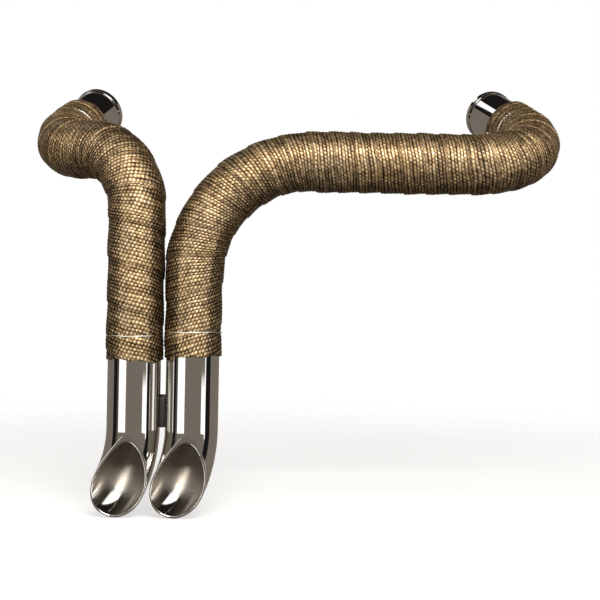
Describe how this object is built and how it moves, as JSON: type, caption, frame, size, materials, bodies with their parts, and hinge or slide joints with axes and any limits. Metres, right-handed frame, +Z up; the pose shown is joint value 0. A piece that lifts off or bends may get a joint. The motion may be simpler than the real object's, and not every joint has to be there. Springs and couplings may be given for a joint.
{
  "type": "wrapped drag pipes",
  "caption": "Pair of short exhaust pipes for a V-twin, heat-wrapped, with plain port collars and turned-out slash-cut tips joined by a bracket.",
  "frame": {"origin": "centre of the bracket's bolt hole, on the face that meets the engine's stay", "axes": "+X to the front of the engine, +Y in towards the engine, along the bracket's bolt, +Z up, along the two straight tails"},
  "size_m": [0.466, 0.1788, 0.3853],
  "materials": {
    "tube_chrome": "polished chrome plate on bent steel tube",
    "collar_chrome": "polished chrome plate on a turned ring",
    "heat_wrap": "woven basalt-fibre tape, bronze, plain weave with a glossy yarn",
    "tie_wire": "bright stainless lock wire",
    "bracket_steel": "dark chrome plate over flat bar"
  },
  "bodies": {
    "root": {"front_port_collar": "collar_chrome", "front_head_bend": "tube_chrome", "front_runner": "tube_chrome", "front_main_bend": "tube_chrome", "front_tail": "tube_chrome", "front_tip": "tube_chrome", "front_wrap": "heat_wrap", "front_upper_tie": "tie_wire", "front_lower_tie": "tie_wire", "rear_port_collar": "collar_chrome", "rear_head_bend": "tube_chrome", "rear_link_tube": "tube_chrome", "rear_main_bend": "tube_chrome", "rear_tail": "tube_chrome", "rear_tip": "tube_chrome", "rear_wrap": "heat_wrap", "rear_upper_tie": "tie_wire", "rear_lower_tie": "tie_wire", "bracket_web": "bracket_steel", "bracket_tab": "bracket_steel", "bracket_welds": "bracket_steel"}
  },
  "joints": []
}
